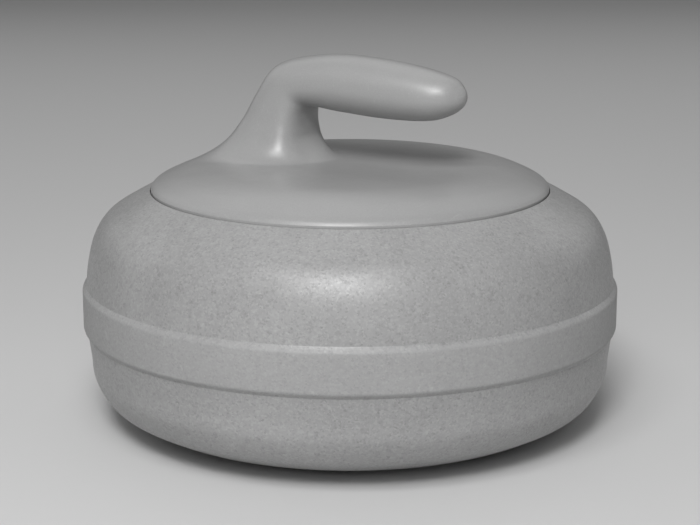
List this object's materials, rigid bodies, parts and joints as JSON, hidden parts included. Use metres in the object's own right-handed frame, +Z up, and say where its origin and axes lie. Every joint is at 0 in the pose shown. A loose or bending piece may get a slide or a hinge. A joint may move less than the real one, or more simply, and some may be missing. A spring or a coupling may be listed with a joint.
{
  "type": "curling stone",
  "caption": "Granite curling stone with a raised striking band and a gooseneck handle that screws down onto a through bolt.",
  "frame": {"origin": "centre of the running band's plane, where the stone rests on the ice", "axes": "+Z up along the stone's axis, +X towards the grip's free end"},
  "size_m": [0.286, 0.286, 0.1963],
  "materials": {
    "granite": "satin",
    "running_granite": "satin",
    "epoxy": "satin",
    "bolt_steel": "satin",
    "spring_steel": "satin",
    "washer_steel": "satin",
    "rubber": "matte",
    "nylon": "satin",
    "handle_plastic": "satin",
    "plate_plastic": "satin",
    "insert_brass": "satin",
    "core_steel": "satin",
    "screw_steel": "satin",
    "core_foam": "matte"
  },
  "bodies": {
    "stone": {"granite_body": "granite", "running_insert": "running_granite", "insert_bond": "epoxy", "clamp_bolt": "bolt_steel", "lock_washer": "spring_steel", "cup_washer": "washer_steel", "cushion_washer": "rubber", "bolt_sleeve": "nylon", "seat_pad": "rubber"},
    "washer": {"thrust_washer": "nylon"},
    "handle": {"handle_moulding": "handle_plastic", "threaded_insert": "insert_brass", "core_rod": "core_steel", "core_plate": "core_steel", "core_foam": "core_foam", "base_plate": "plate_plastic", "rim_seal": "rubber", "core_screw_1": "screw_steel", "core_screw_2": "screw_steel", "core_screw_3": "screw_steel", "core_screw_4": "screw_steel", "plate_screw_1": "screw_steel", "plate_screw_2": "screw_steel", "plate_screw_3": "screw_steel", "plate_screw_4": "screw_steel", "plate_screw_5": "screw_steel", "plate_screw_6": "screw_steel"}
  },
  "joints": [
    {"name": "handle_rise", "type": "slide", "parent": "stone", "child": "washer", "axis": [0, 0, 1], "range_m": [0, 0.012]},
    {"name": "handle_turn", "type": "hinge", "parent": "washer", "child": "handle", "pos_m": [0, 0, 0.124], "axis": [0, 0, 1], "range_deg": [0, 2880]}
  ],
  "couplings": [
    {"joint": "handle_rise", "follows": "handle_turn", "m_per_rad": 0.00023873}
  ]
}
